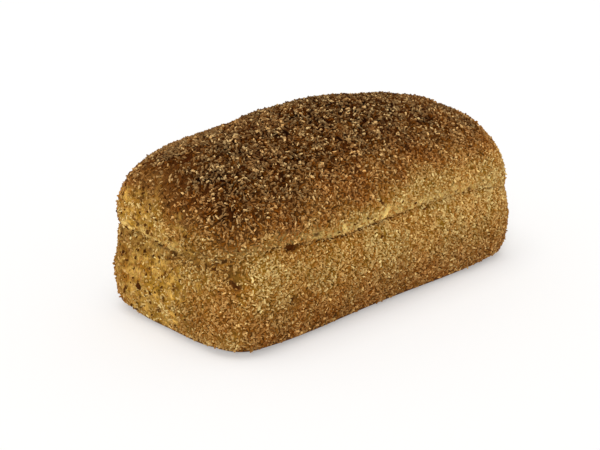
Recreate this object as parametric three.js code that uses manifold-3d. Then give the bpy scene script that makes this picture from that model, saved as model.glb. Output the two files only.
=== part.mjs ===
// A wholemeal tin loaf in one piece. The lower body took its shape from a straight-sided tin, the crown
// rose over the rim of the tin and left a crease all round, and cracked grain is baked into the crust.
// Millimetres, X along the loaf, Z up, origin on the resting face under the middle of the loaf.

import * as THREE from "three";
import { mergeVertices } from "three/addons/utils/BufferGeometryUtils.js";
import Module from "manifold-3d";

// Body: outside sizes where the sides bulge most. At the foot the ends and the long sides are a little
// hollow, as crust is that shrank from its tin, and they bow out more with height.
const LENGTH = 250;
const WIDTH = 129;
const CORNER_RADIUS = 26.5;
const SIDE_BOW = 2.5;
const FOOT_BOW = { end: -0.8, side: -3.2 };
const BOW_FULL_HEIGHT = 30;
const BULGE_LEVEL = 0.5;
const FOOT_INSET = 4.4;
const RIM_INSET = 3.2;

// Rounding between the resting face and the sides, larger where the dough missed the corners of the tin.
const FOOT_RADIUS = 5;
const FOOT_CORNER_RADIUS = 11;

// Crease left by the tin's rim: its mean height, the rise or dip at even stations round the loaf counted
// anticlockwise from the front right corner, the groove pressed in along it, the gaps where the groove
// closes up as shares of the girth, and the wider valley on the ends that is deepest below it and is
// shallower on the right-hand end.
const RIM_HEIGHT = 53.7;
const RIM_WANDER = [-10, -6, -2, 0, 0, 1.5, -1.8, -1.4, 6, 0.8, 2.8, 0.2];
const GROOVE_DEPTH = 1.6;
const GROOVE_HALF_WIDTH = 3.2;
const GROOVE_GAPS = [
  { at: 0.667, width: 0.04 },
  { at: 0.985, width: 0.035 },
];
const VALLEY_DEPTH = 3.4;
const VALLEY_RIGHT_SHARE = 0.15;
const VALLEY_DROP = 9;
const VALLEY_HALF_WIDTH = 14;
const VALLEY_IN_GAPS = 0.4;

// Crown: shoulder exponents along and across, corner rounding at the rim and how it grows to the top, and the
// shares by which it rises more towards one end and one side.
const CROWN_HEIGHT = 103;
const CROWN_OVERHANG = 1;
const CROWN_CORNER_RADIUS = 23.7;
const SHOULDER_ALONG = 4.3;
const SHOULDER_ACROSS = 2.07;
const CORNER_GROWTH = 1.9;
const CROWN_LEAN = { along: -0.025, across: 0.04 };

// Oven spring: the part of the crown that rose higher than the rest.
const HUMP_HEIGHT = 9;
const HUMP_AT = [2, 21.5];
const HUMP_SPREAD = [55, 45];

// Cracked grain on the crust: the largest pieces, kept apart by an even spacing, above a height, short of the
// end of each stretch, and shared out between the wall and the crown.
const GRAIN_LENGTH = [3.2, 4.4];
const GRAIN_WIDTH = [1.5, 2];
const GRAIN_THICKNESS = 1.6;
const GRAIN_SUNK = 0.2;
const GRAIN_SPACING = 16;
const GRAIN_TRIES = 9000;
const GRAIN_LOWEST = 6;
const GRAIN_HIGHEST = 0.97;
const GRAIN_WALL_SHARE = 0.3;
const GRAIN_SEED = 20417;

// Bare patch in the middle of each end, where the rolled-up dough was closed.
const BARE_DEPTH = 14;
const BARE_CENTRE = [14, 36];
const BARE_RADII = [42, 40];

// Mesh steps: columns on each end, side and corner, and levels from the resting face to the top, with limits
// that keep the smallest rings open.
const END_COLUMNS = 8;
const SIDE_COLUMNS = 15;
const CORNER_COLUMNS = 8;
const FOOT_STEPS = 4;
const WALL_LEVELS = [0.2, 0.42, 0.62, 0.79, 0.89, 0.96, 1];
const SMALLEST_REACH = 0.3;
const LAST_CROWN_RISE = 0.99995;
const CROWN_BOW_LIMIT = 0.3;
const CROWN_LEVELS = [0.03, 0.075, 0.14, 0.22, 0.31, 0.4, 0.5, 0.6, 0.7, 0.8, 0.89, 0.96];

const HALF_LENGTH = LENGTH / 2;
const HALF_WIDTH = WIDTH / 2;
const QUARTER = Math.PI / 2;
const END_RUN = 2 * (HALF_WIDTH - CORNER_RADIUS);
const SIDE_RUN = 2 * (HALF_LENGTH - CORNER_RADIUS);
const CORNER_RUN = CORNER_RADIUS * QUARTER;
const GIRTH = 2 * (END_RUN + SIDE_RUN + 2 * CORNER_RUN);

// Seeded draw between 0 and 1.
function seededDraw(seed) {
  let state = seed >>> 0;
  return () => {
    state = (state + 0x6d2b79f5) >>> 0;
    let t = Math.imul(state ^ (state >>> 15), 1 | state);
    t = (t + Math.imul(t ^ (t >>> 7), 61 | t)) ^ t;
    return ((t ^ (t >>> 14)) >>> 0) / 4294967296;
  };
}

// Smooth closed curve through the values at even stations, u from 0 to 1 round the loaf.
function aroundStations(values, u) {
  const count = values.length;
  const place = (((u % 1) + 1) % 1) * count;
  const i = Math.floor(place);
  const t = place - i;
  const [p, q, r, s] = [-1, 0, 1, 2].map((k) => values[(i + k + count) % count]);
  const square = (2 * p - 5 * q + 4 * r - s) * t * t;
  const cube = (3 * q - p - 3 * r + s) * t * t * t;
  return 0.5 * (2 * q + (r - p) * t + square + cube);
}

// Place on the outline at the share u of its length: the corner of the core that the column belongs to,
// the way it faces, and how much of the side's bow it has.
function outline(u) {
  let left = (((u % 1) + 1) % 1) * GIRTH;
  for (let k = 0; ; k = (k + 1) % 4) {
    const run = k % 2 ? SIDE_RUN : END_RUN;
    const [c, s] = [[1, 0], [0, 1], [-1, 0], [0, -1]][k];
    if (left <= run) {
      const t = (2 * left) / run - 1;
      return { core: [c - s * t, s + c * t], facing: k * QUARTER, bow: (1 - t * t) ** 2 };
    }
    left -= run;
    if (left <= CORNER_RUN) {
      return { core: [c - s, s + c], facing: k * QUARTER + left / CORNER_RADIUS, bow: 0 };
    }
    left -= CORNER_RUN;
  }
}

// Point of a rounded rectangle with half sizes a and b at the given column.
function ringPoint(column, a, b, radius, inset, bow, z, swell = 1) {
  const round = Math.min(radius, a - bow, b - bow);
  const reach = Math.max(round - inset, SMALLEST_REACH) + bow * swell * column.bow;
  return new THREE.Vector3(
    column.core[0] * (a - bow - round) + reach * Math.cos(column.facing),
    column.core[1] * (b - bow - round) + reach * Math.sin(column.facing),
    z,
  );
}

// How deep the crust is drawn in at a height above the crease.
function grooveDepth(u, column, above) {
  let open = 1;
  for (const gap of GROOVE_GAPS) {
    const off = ((((u - gap.at) % 1) + 1.5) % 1) - 0.5;
    open = Math.min(open, 1 - Math.exp(-((off / gap.width) ** 2)));
  }
  const groove = GROOVE_DEPTH * open * Math.exp(-((above / GROOVE_HALF_WIDTH) ** 2));
  const from = (above + VALLEY_DROP) / VALLEY_HALF_WIDTH;
  const rightward = Math.cos(column.facing);
  const valley = VALLEY_DEPTH * Math.max(-rightward, VALLEY_RIGHT_SHARE * rightward) * Math.exp(-from * from);
  return groove + valley * (VALLEY_IN_GAPS + (1 - VALLEY_IN_GAPS) * open);
}

// Share of the bow at a height: from the hollow of the foot smoothly to the full bow.
function bowShare(column, z) {
  const t = Math.min(z / BOW_FULL_HEIGHT, 1);
  const grown = t * t * (3 - 2 * t);
  const across = Math.sin(column.facing) ** 2;
  const atFoot = (FOOT_BOW.end * (1 - across) + FOOT_BOW.side * across) / SIDE_BOW;
  return atFoot + (1 - atFoot) * grown;
}

// Point of the crust at the share u round the loaf, in one of its stretches: the resting face from the
// middle outwards, the rounded foot, the wall up to the crease, and the crown up to its top.
function crustPoint(u, stretch, k) {
  const column = outline(u);
  const rim = RIM_HEIGHT + aroundStations(RIM_WANDER, u);
  const cornerShare = Math.max(Math.abs(column.core[0]) + Math.abs(column.core[1]) - 1, 0) ** 4;
  const foot = FOOT_RADIUS + (FOOT_CORNER_RADIUS - FOOT_RADIUS) * cornerShare;
  const wallInset = (z) => {
    const h = z / rim;
    if (h < BULGE_LEVEL) {
      return FOOT_INSET * (1 - h / BULGE_LEVEL) ** 2;
    }
    return RIM_INSET * ((h - BULGE_LEVEL) / (1 - BULGE_LEVEL)) ** 2;
  };
  const inset = (z) => wallInset(z) + grooveDepth(u, column, z - rim);

  if (stretch === "crown") {
    const s = Math.min(Math.sin(k * QUARTER), LAST_CROWN_RISE);
    const fullA = HALF_LENGTH - RIM_INSET + CROWN_OVERHANG;
    const fullB = HALF_WIDTH - RIM_INSET + CROWN_OVERHANG;
    const a = fullA * (1 - s ** SHOULDER_ALONG) ** (1 / SHOULDER_ALONG);
    const b = fullB * (1 - s ** SHOULDER_ACROSS) ** (1 / SHOULDER_ACROSS);
    const share = CROWN_CORNER_RADIUS / fullB;
    const radius = b * (share + (1 - share) * s ** CORNER_GROWTH);
    const rise = (CROWN_HEIGHT - rim) * s;
    const bow = Math.min(SIDE_BOW * (1 - s), CROWN_BOW_LIMIT * b);
    const p = ringPoint(column, a, b, radius, grooveDepth(u, column, rise), bow, 0);
    const hx = (p.x - HUMP_AT[0]) / HUMP_SPREAD[0];
    const hy = (p.y - HUMP_AT[1]) / HUMP_SPREAD[1];
    p.z = rim + rise * (1 + (CROWN_LEAN.along * p.x) / fullA + (CROWN_LEAN.across * p.y) / fullB);
    p.z += HUMP_HEIGHT * s * Math.exp(-hx * hx - hy * hy);
    return p;
  }
  if (stretch === "wall") {
    const z = foot + (rim - foot) * k;
    const radius = CORNER_RADIUS + (CROWN_CORNER_RADIUS - CORNER_RADIUS) * (z / rim) ** 2;
    return ringPoint(column, HALF_LENGTH, HALF_WIDTH, radius, inset(z), SIDE_BOW, z, bowShare(column, z));
  }
  const turn = stretch === "foot" ? k * QUARTER : 0;
  const z = foot * (1 - Math.cos(turn));
  const edge = foot * (1 - Math.sin(turn));
  const radius = CORNER_RADIUS + (CROWN_CORNER_RADIUS - CORNER_RADIUS) * (z / rim) ** 2;
  const drawnIn = edge + inset(z);
  const p = ringPoint(column, HALF_LENGTH, HALF_WIDTH, radius, drawnIn, SIDE_BOW, z, bowShare(column, z));
  if (stretch === "floor") {
    p.multiplyScalar(k);
  }
  return p;
}

// Shares of the girth where the columns stand, closer together on the corners.
function columnShares() {
  const shares = [];
  let start = 0;
  for (let k = 0; k < 4; k++) {
    const run = k % 2 ? SIDE_RUN : END_RUN;
    const count = k % 2 ? SIDE_COLUMNS : END_COLUMNS;
    for (let i = 0; i < count; i++) {
      shares.push((start + (run * i) / count) / GIRTH);
    }
    start += run;
    for (let i = 0; i < CORNER_COLUMNS; i++) {
      shares.push((start + (CORNER_RUN * i) / CORNER_COLUMNS) / GIRTH);
    }
    start += CORNER_RUN;
  }
  return shares;
}

// Closed triangle mesh of the loaf: a sphere's grid whose rings are moved to the levels of the crust.
function crustGeometry() {
  const shares = columnShares();
  const columns = shares.length;
  const levels = [["floor", 0]];
  for (let i = 0; i <= FOOT_STEPS; i++) {
    levels.push(["foot", i / FOOT_STEPS]);
  }
  WALL_LEVELS.forEach((k) => levels.push(["wall", k]));
  CROWN_LEVELS.forEach((k) => levels.push(["crown", k]));
  levels.push(["crown", 1]);
  const rings = levels.length - 1;
  const geometry = new THREE.SphereGeometry(1, columns, rings);
  const top = crustPoint(0, "crown", 1);
  const { position, uv } = geometry.attributes;
  for (let i = 0; i < position.count; i++) {
    const ring = Math.round(uv.getY(i) * rings);
    const around = shares[(Math.round(uv.getX(i) * columns) + columns) % columns];
    const p = crustPoint(around, ...levels[ring]);
    if (ring === rings) {
      p.set(0, 0, top.z);
    }
    position.setXYZ(i, p.x, p.y, p.z);
  }
  return geometry;
}

// Outward direction and a direction along the crust at a place, from small steps each way.
function crustFrame(u, stretch, k) {
  const step = 0.004;
  const along = crustPoint(u + step, stretch, k).sub(crustPoint(u - step, stretch, k)).normalize();
  const high = crustPoint(u, stretch, Math.min(k + step, 1));
  const up = high.sub(crustPoint(u, stretch, Math.max(k - step, 0))).normalize();
  const out = new THREE.Vector3().crossVectors(along, up).normalize();
  return { along, out };
}

function isBare(p) {
  const dy = (p.y - BARE_CENTRE[0]) / BARE_RADII[0];
  const dz = (p.z - BARE_CENTRE[1]) / BARE_RADII[1];
  return Math.abs(p.x) > HALF_LENGTH - BARE_DEPTH && dy * dy + dz * dz < 1;
}

// Grains of cracked wheat, each a stretched icosahedron lying on the crust and half sunk in it.
function grainGeometries() {
  const draw = seededDraw(GRAIN_SEED);
  const between = ([low, high]) => low + (high - low) * draw();
  const kept = [];
  const grains = [];
  for (let i = 0; i < GRAIN_TRIES; i++) {
    const u = draw();
    const stretch = draw() < GRAIN_WALL_SHARE ? "wall" : "crown";
    const k = draw();
    const turn = draw() * Math.PI;
    const p = crustPoint(u, stretch, k);
    const crowded = kept.some((other) => other.distanceTo(p) < GRAIN_SPACING);
    if (crowded || p.z < GRAIN_LOWEST || k > GRAIN_HIGHEST || isBare(p)) {
      continue;
    }
    kept.push(p);
    const { along, out } = crustFrame(u, stretch, k);
    const lengthwise = along.applyAxisAngle(out, turn);
    const across = new THREE.Vector3().crossVectors(out, lengthwise);
    const grain = new THREE.IcosahedronGeometry(1, 0);
    grain.scale(between(GRAIN_LENGTH) / 2, between(GRAIN_WIDTH) / 2, GRAIN_THICKNESS / 2);
    const place = new THREE.Matrix4().makeBasis(lengthwise, across, out);
    place.setPosition(p.addScaledVector(out, -GRAIN_SUNK));
    grains.push(grain.applyMatrix4(place));
  }
  return grains;
}

const wasm = await Module();
wasm.setup();

// Closed solid of a geometry whose seams are merged.
function toSolid(geometry) {
  geometry.deleteAttribute("normal");
  geometry.deleteAttribute("uv");
  const merged = mergeVertices(geometry, 1e-4);
  const vertProperties = new Float32Array(merged.attributes.position.array);
  const triVerts = new Uint32Array(merged.index.array);
  return new wasm.Manifold(new wasm.Mesh({ numProp: 3, vertProperties, triVerts }));
}

function toGeometry(solid) {
  const { vertProperties, triVerts } = solid.getMesh();
  const geometry = new THREE.BufferGeometry();
  geometry.setAttribute("position", new THREE.BufferAttribute(new Float32Array(vertProperties), 3));
  geometry.setIndex(new THREE.BufferAttribute(new Uint32Array(triVerts), 1));
  geometry.computeVertexNormals();
  return geometry;
}

function bakedLoaf() {
  let solid = toSolid(crustGeometry());
  for (const grain of grainGeometries()) {
    solid = solid.add(toSolid(grain));
  }
  return toGeometry(solid);
}

const crust = new THREE.MeshStandardMaterial({ color: 0x8a6032, roughness: 0.8, metalness: 0 });
const loaf = new THREE.Mesh(bakedLoaf(), crust);
loaf.name = "loaf";

const group = new THREE.Group();
group.name = "bread_loaf";
group.add(loaf);

export default group;
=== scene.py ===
"""Visual model of a whole wholemeal tin loaf: a browned crust and the cracked grain baked into it.

The crust is a closed parametric surface, the grains are joined meshes scattered over it by area, and the
browning of both follows one rule, so a grain is as dark as the crust it lies in. Metres, Z up, +X along the
loaf to its right-hand end and +Y across it to the far side.
"""

import math

import bpy
import numpy as np
from bpy.props import FloatProperty, FloatVectorProperty, IntProperty, PointerProperty
from bpy.types import Operator, Panel, PropertyGroup
from mathutils import Matrix, Vector


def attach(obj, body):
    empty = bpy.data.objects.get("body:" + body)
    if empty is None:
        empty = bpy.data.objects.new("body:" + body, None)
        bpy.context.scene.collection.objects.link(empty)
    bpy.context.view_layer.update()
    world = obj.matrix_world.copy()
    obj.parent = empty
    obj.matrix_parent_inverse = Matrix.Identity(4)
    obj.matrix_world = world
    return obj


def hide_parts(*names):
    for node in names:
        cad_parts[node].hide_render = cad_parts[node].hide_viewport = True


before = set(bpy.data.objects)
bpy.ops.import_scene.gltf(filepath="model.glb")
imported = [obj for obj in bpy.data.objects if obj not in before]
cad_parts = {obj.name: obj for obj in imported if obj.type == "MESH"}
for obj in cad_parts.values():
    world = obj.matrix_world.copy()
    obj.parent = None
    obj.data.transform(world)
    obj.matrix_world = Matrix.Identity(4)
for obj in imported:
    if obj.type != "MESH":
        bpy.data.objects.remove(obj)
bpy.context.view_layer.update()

bl_info = {
    "name": "Wholemeal tin loaf",
    "version": (1, 0, 0),
    "blender": (4, 5, 0),
    "location": "3D View > Sidebar > Loaf",
    "description": "Builds a tin loaf with a browned crust and a coat of cracked grain",
    "category": "Add Mesh",
}

QUARTER = math.pi / 2
SENSOR_MM = 36.0
FLOOR_REACH = 40.0  # half the side of the stage's floor

# Rows of the crust's grid, and how much they crowd together at the crease and at the top.
FLOOR_ROWS, FOOT_ROWS, WALL_ROWS, CROWN_ROWS = 6, 13, 57, 103
FLOOR_SPAN = (0.15, 0.97)  # first and last floor ring, as shares of the foot's
WALL_CROWDING = 1.6
CROWN_CROWDING = 0.7

# Limits of the rings, and the least area of a cell that still has a direction.
LEAST_RADIUS = 0.0003
LARGEST_BOW = 0.3
LEAST_AREA = 1e-15

# Random fields over the loaf, in layers: the distance from wave to wave, a seed and a height.
WAVE_SPAN = (0.7, 1.5)  # shortest and longest wave, as shares of that distance
BROWN_LINE = ((0.034, 61, 1.0), (0.012, 62, 0.5))
BLOTCHES = ((0.018, 63, 1.0), (0.007, 69, 0.8))
BARE_EDGE = ((0.016, 64, 0.16), (0.006, 70, 0.10))
BARE_PATCHES = ((0.011, 77, 0.40), (0.005, 78, 0.36))
BAND_EDGE = ((0.010, 65, 0.2),)
FLOUR_PATCHES = ((0.012, 66, 1.0),)
RUDDY_PATCHES = ((0.030, 67, 1.0), (0.010, 68, 0.7))
THIN_EDGE = ((0.014, 71, 0.004),)
CLUMPS = ((0.006, 72, 1.0), (0.014, 73, 0.25))
SPECK_DRIFT = ((0.011, 74, 1.0),)
SHADE_DRIFT = ((0.005, 75, 0.05),)
TEARS = ((0.014, 76, 1.0),)

# Spans of the ends, as distances in from the loaf's tip: where a change starts and where it is complete.
LATE_END = (0.025, 0.003)
WALL_END = (0.017, 0.006)
# end span of the painted shade under the crease of an end
PAINTED_SHADE_END = (0.015, 0.006)
THIN_END = (0.028, 0.010)
FLOURY_END = (0.012, 0.006)

# Other spans across and up the loaf: where a change starts and where it is complete.
FREE_CRUST = (0.001, 0.008)
CORNER_ACROSS = (0.030, 0.056)
CORNER_TOP = (0.040, 0.060)
THIN_ACROSS = (-0.036, -0.004)
THIN_UP = (0.062, 0.076)
FLOUR_ACROSS = (-0.022, 0.002)
BAND_LIP = (-0.0006, 0.0008)
DARK_FOOT = (0.0015, 0.0055)
SPECK_FOOT = 0.006  # height where the specks are at their full number
GRAIN_FOOT = 0.0004  # rise over which the grain starts
BASE_FULL = 0.006  # height up to which the base is browned in full
END_LAG = 0.005  # how much higher the ends brown

# Spans of a random field, in its own spread, or of a share.
TEAR_SPAN = (-0.8, 0.6)
FLOUR_SPAN = (-1.7, 0.5)
RUDDY_SPAN = (-0.6, 1.8)
SPECK_SPAN = (-1.3, 1.3)
BARE_FADE = (0.55, 1.15)
BAND_FADE = (0.5, 1.35)
COAT_LIMITS = (0.2, 1.9)

# Bells across the crease: the height of the middle above it and the half width.
FLOUR_BELL = (0.0025, 0.0035)
DARK_BELL = (-0.0006, 0.0011)
UNDER_BELL = (-0.0045, 0.0038)
LOSS_BELL = (0.0, 0.0012)

# Shares of the relief and of the pale and the bare crust.
SLIT_ON_END = 0.8  # sharp line along the crease of an end
VALLEY_CLOSED = 0.6  # what the end valley loses where the crease closes up
# The flour along the crease of an end is partly a painted highlight on the lip.
FLOUR = 1.1  # flour along the crease of an end
BAND_LEAST = 0.25  # what is left of the pale band further out
BARE_MEAN = 0.62  # bare crust in a bare patch
SPECKS_ON_PALE = 0.5  # bran specks, where bare crust has 1
SPECKS_ON_THIN = 0.8

# Shares of the grain that bare, pale and thinly coated crust and the crease lack.
BARE_LOSS = 0.84
PALE_LOSS = 0.7
THIN_LOSS = 0.68
CREASE_LOSS = 0.5
PIT_POWER = 0.35  # of a pit's share, below 1 so that its edge lacks grain too

# Shares of painted shade in what is hollow, put into the crust's colour as browning, and of the light lost
# between grains and in hollows, painted into its colour as well.
CREASE_DARK = 0.08
TEAR_DARK = 0.58
UNDER_DARK = 0.42
FOOT_DARK = 0.6
PIT_DARK = 0.9
GAP_SHADOW = 0.30
TOASTED_GAP_SHADOW = 0.66
HOLLOW_SHADOW = 0.35

# Form of a grain, as shares of its half sizes, and the limits of the logarithm of its size.
GRAIN_WAIST = 0.86
GRAIN_TAPER = 0.12
GRAIN_FLAT = 0.9
GRAIN_JITTER = 0.32
GRAIN_LIMITS = (-0.6, 0.5)
STEEP = 0.9  # upward share of a direction that counts as upright

# Shade of a grain: most are dull, a few are painted light as glints, and all are duller where they are
# toasted.
SHADE_TOP = 0.66  # lightest dull grain
SHADE_DRAW = (0.7, 1.25)  # beta distribution of the dull shades
SHADE_SKEW = 0.3  # added to the power of that draw where toasted
SHADE_TOASTED = 0.42  # share lost where toasted
# The crust's patches of lightness, which the grain shares, are partly a painted highlight.
SHADE_PATCHES = 0.6  # share of the crust's uneven lightness
PAINTED_GLINT_ODDS = (0.04, 0.06)  # on golden crust, and how much more on dark crust
PAINTED_GLINT_SHADES = (0.7, 1.0)
TOAST_SPREAD = 0.08  # of the browning from grain to grain
RUDDY_SPREAD = 0.25  # of the ruddiness from grain to grain

# Noise of the crust: how many features lie along 100 mm, their detail and their roughness.
MOTTLES = (33, 4.0, 0.7)
PORES = (76, 2.0, 0.5)
FINE_PITS = (62, 3.0, 0.5)

# How the mottles and the dark pores scale the colour: from this span of the noise to this span of light.
MOTTLE_LIGHT = (0.3, 0.7, 0.5, 1.5)
PORE_LIGHT = (0.33, 0.47, 0.35, 1.05)

# Pits and short tears in the crust: each runs from one place to another and has a radius and a depth.
PITS = (
    # Front side, along the crease
    ((-0.097, -0.059, 0.060), (-0.090, -0.059, 0.060), 0.0011, 0.0011),
    ((-0.083, -0.058, 0.058), (-0.079, -0.058, 0.057), 0.0018, 0.0018),
    ((-0.062, -0.059, 0.060), (-0.061, -0.059, 0.060), 0.0012, 0.0012),
    ((-0.009, -0.059, 0.066), (-0.011, -0.059, 0.067), 0.0014, 0.0013),
    ((0.027, -0.059, 0.053), (0.032, -0.059, 0.054), 0.0010, 0.0012),
    ((0.057, -0.059, 0.057), (0.056, -0.059, 0.058), 0.0012, 0.0013),
    ((0.069, -0.059, 0.057), (0.071, -0.059, 0.056), 0.0017, 0.0016),
    # Front wall
    ((-0.081, -0.061, 0.028), (-0.082, -0.061, 0.029), 0.0015, 0.0012),
    ((-0.011, -0.061, 0.046), (-0.012, -0.061, 0.047), 0.0013, 0.0011),
    # Corner of the front and the left end
    ((-0.118, -0.030, 0.058), (-0.116, -0.033, 0.054), 0.0009, 0.0010),
    ((-0.117, -0.037, 0.051), (-0.118, -0.040, 0.050), 0.0009, 0.0009),
    ((-0.116, -0.049, 0.045), (-0.113, -0.053, 0.042), 0.0015, 0.0012),
    # Left end
    ((-0.118, 0.025, 0.059), (-0.118, 0.024, 0.060), 0.0016, 0.0012),
    ((-0.118, 0.003, 0.054), (-0.118, 0.001, 0.054), 0.0010, 0.0009),
    ((-0.120, -0.005, 0.050), (-0.119, -0.008, 0.050), 0.0012, 0.0009),
    ((-0.118, -0.019, 0.052), (-0.118, -0.020, 0.053), 0.0012, 0.0009),
    ((-0.120, 0.007, 0.013), (-0.120, 0.008, 0.013), 0.0013, 0.0008),
    # Crown
    ((-0.102, 0.000, 0.097), (-0.097, 0.006, 0.099), 0.0016, 0.0010),
)

# Patches with a middle and a reach, and how much browner and how much lighter they are: mostly uneven bake,
# and on the crown partly painted light and shade.
PATCHES = (
    # Corner of the front and the left end
    ((-0.119, -0.032, 0.058), 0.016, 0.14, -0.02),
    ((-0.110, -0.054, 0.056), 0.009, 0.20, -0.14),
    ((-0.116, -0.045, 0.064), 0.014, 0.16, -0.05),
    ((-0.117, -0.042, 0.071), 0.010, 0.08, -0.02),
    ((-0.119, -0.028, 0.066), 0.014, 0.06, -0.08),
    ((-0.101, -0.058, 0.053), 0.009, -0.12, 0.14),
    # Left end
    ((-0.120, -0.020, 0.012), 0.017, 0.24, -0.06),
    ((-0.121, -0.028, 0.024), 0.014, 0.17, -0.09),
    ((-0.122, -0.005, 0.016), 0.012, -0.10, 0.20),
    ((-0.118, 0.036, 0.036), 0.015, 0.22, -0.05),
    ((-0.118, 0.030, 0.056), 0.009, -0.15, 0.18),
    ((-0.120, -0.017, 0.068), 0.013, 0.12, -0.04),
    ((-0.120, 0.028, 0.072), 0.018, -0.22, 0.12),
    # Front side, along the crease
    ((-0.077, -0.059, 0.061), 0.012, 0.16, -0.05),
    ((-0.062, -0.058, 0.055), 0.007, 0.20, -0.10),
    ((-0.050, -0.060, 0.063), 0.009, 0.10, -0.06),
    ((-0.035, -0.058, 0.071), 0.010, 0.14, -0.05),
    ((-0.021, -0.060, 0.066), 0.009, 0.18, -0.08),
    # Front wall
    ((0.040, -0.062, 0.035), 0.045, 0.0, 0.06),
    ((0.064, -0.061, 0.049), 0.013, 0.0, 0.17),
    ((0.090, -0.059, 0.049), 0.014, 0.0, 0.17),
    # Crown: the lighter patches along its far side are a painted highlight, and the browner ones on its top
    # and at its right-hand end are painted shade as well as browning.
    ((-0.098, -0.027, 0.095), 0.014, 0.05, 0.03),
    ((-0.072, -0.055, 0.077), 0.010, -0.12, 0.05),
    ((-0.034, -0.054, 0.079), 0.010, -0.10, 0.05),
    ((-0.095, 0.030, 0.095), 0.016, -0.08, 0.16),
    ((-0.075, 0.025, 0.102), 0.016, -0.08, 0.16),
    ((-0.045, 0.025, 0.107), 0.016, -0.05, 0.12),
    ((0.011, -0.010, 0.106), 0.022, 0.04, -0.06),
    ((0.037, -0.010, 0.104), 0.018, 0.04, -0.06),
    ((0.100, -0.040, 0.085), 0.022, 0.08, -0.04),
)


def linear(hex_colour):
    """Linear colour of an sRGB hex code."""
    s = np.array([int(hex_colour[i : i + 2], 16) for i in (1, 3, 5)]) / 255
    return tuple(np.where(s <= 0.04045, s / 12.92, ((s + 0.055) / 1.055) ** 2.4))


def quantity(label, words, default, **kind):
    """Property for one number or for several, with a unit, a subtype or limits."""
    if len(default) > 1:
        size = len(default)
        return FloatVectorProperty(name=label, description=words, default=default, size=size, **kind)
    return FloatProperty(name=label, description=words, default=default[0], **kind)


def length(label, words, *default):
    """Property for one or more lengths in metres."""
    return quantity(label, words, default, unit="LENGTH", precision=5)


def share(label, words, *default):
    """Property for one or more plain numbers."""
    return quantity(label, words, default, precision=4)


def colour(label, words, hex_colour):
    """Property for a colour given as an sRGB hex code."""
    return quantity(label, words, linear(hex_colour), subtype="COLOR", min=0, max=1)


def number(label, words, default):
    """Property for a whole number."""
    return IntProperty(name=label, description=words, default=default, min=1)


class LoafShape(PropertyGroup):
    """Form of the loaf."""

    long: length("Length", "Outside length where the ends bulge most", 0.250)
    wide: length("Width", "Outside width where the sides bulge most", 0.129)
    corner: length("Corner radius", "Upright corners of the tin-shaped body", 0.0265)
    bow: length("Side bow", "How far the middle of a side stands out from its ends", 0.0025)
    foot_bow_end: length("End foot bow", "Bow of an end at its foot, below zero where hollow", -0.0008)
    foot_bow_side: length("Side foot bow", "Bow of a long side at its foot", -0.0032)
    bow_full: length("Bow height", "Height where the sides have their full bow", 0.030)
    bulge: share("Bulge level", "Share of the crease height where the wall bulges most", 0.5)
    foot_inset: length("Foot inset", "How far the foot of the wall lies inside the bulge", 0.0044)
    rim_inset: length("Rim inset", "How far the top of the wall lies inside the bulge", 0.0032)
    foot: length("Foot radius", "Rounding of the bottom edge along the sides", 0.005)
    foot_corner: length("Foot corner radius", "Rounding of the bottom edge at the corners", 0.011)
    rim: length("Crease height", "Mean height of the crease left by the tin's rim", 0.0537)
    wander: length(
        "Crease wander",
        "Rise or dip of the crease at even stations, anticlockwise from the front right corner",
        *(-0.010, -0.006, -0.002, 0, 0, 0.0015, -0.0018, -0.0014, 0.006, 0.0008, 0.0028, 0.0002),
    )
    groove: length("Groove depth", "Depth of the soft hollow along the crease", 0.0014)
    groove_wide: length("Groove half width", "Half width of that hollow", 0.0034)
    slit: length("Slit depth", "Depth of the sharp line at the bottom of the hollow", 0.0011)
    slit_wide: length("Slit half width", "Half width of that line", 0.0008)
    slit_mid: length("Slit middle", "Middle of the sharp line along a side", -0.034)
    slit_long: length("Slit reach", "Distance from its middle where the sharp line fades", 0.044)
    gap_at: share("Gap places", "Shares of the girth where the crease closes up", 0.667, 0.985)
    gap_wide: share("Gap widths", "Shares of the girth over which it closes up", 0.04, 0.035)
    valley: length("End valley depth", "Depth of the wide valley along the crease of the ends", 0.0034)
    valley_right: share("Right valley", "Share of that depth on the right-hand end", 0.15)
    valley_drop: length("End valley drop", "How far below the crease that valley is deepest", 0.009)
    valley_wide: length("End valley half width", "Half width of that valley", 0.014)
    coat: length("Coat allowance", "How far the crust lies inside the tips of its grain", 0.0006)
    crown: length("Crown height", "Height of the crown without its hump", 0.103)
    overhang: length("Crown overhang", "How far the crown stands out over the crease", 0.001)
    crown_corner: length("Crown corner radius", "Upright corners of the crown at the crease", 0.0237)
    shoulder_long: share("Shoulder along", "Superellipse exponent of the crown along the loaf", 4.3)
    shoulder_wide: share("Shoulder across", "Superellipse exponent of the crown across the loaf", 2.07)
    corner_growth: share("Corner growth", "Power by which the crown's corners grow to full round", 1.9)
    lean_along: share("Lean along", "Share by which the right end of the crown rises more", -0.025)
    lean_across: share("Lean across", "Share by which the far side of the crown rises more", 0.04)
    hump: length("Hump height", "Extra rise of the crown from oven spring", 0.009)
    hump_at: length("Hump place", "Middle of the hump", 0.002, 0.0215)
    hump_spread: length("Hump spread", "Reach of the hump", 0.055, 0.045)
    lump: length("Lump height", "Spread of the soft unevenness of the crust", 0.00035)
    lump_long: length("Lump length", "Distance from lump to lump", 0.026)
    pebble: length("Pebble height", "Spread of the fine unevenness of the crust", 0.00018)
    pebble_long: length("Pebble length", "Distance from pebble to pebble", 0.0045)
    columns: number("Columns", "Grid columns round the loaf", 540)
    seed: number("Seed", "Seed of the unevenness", 7)


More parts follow.
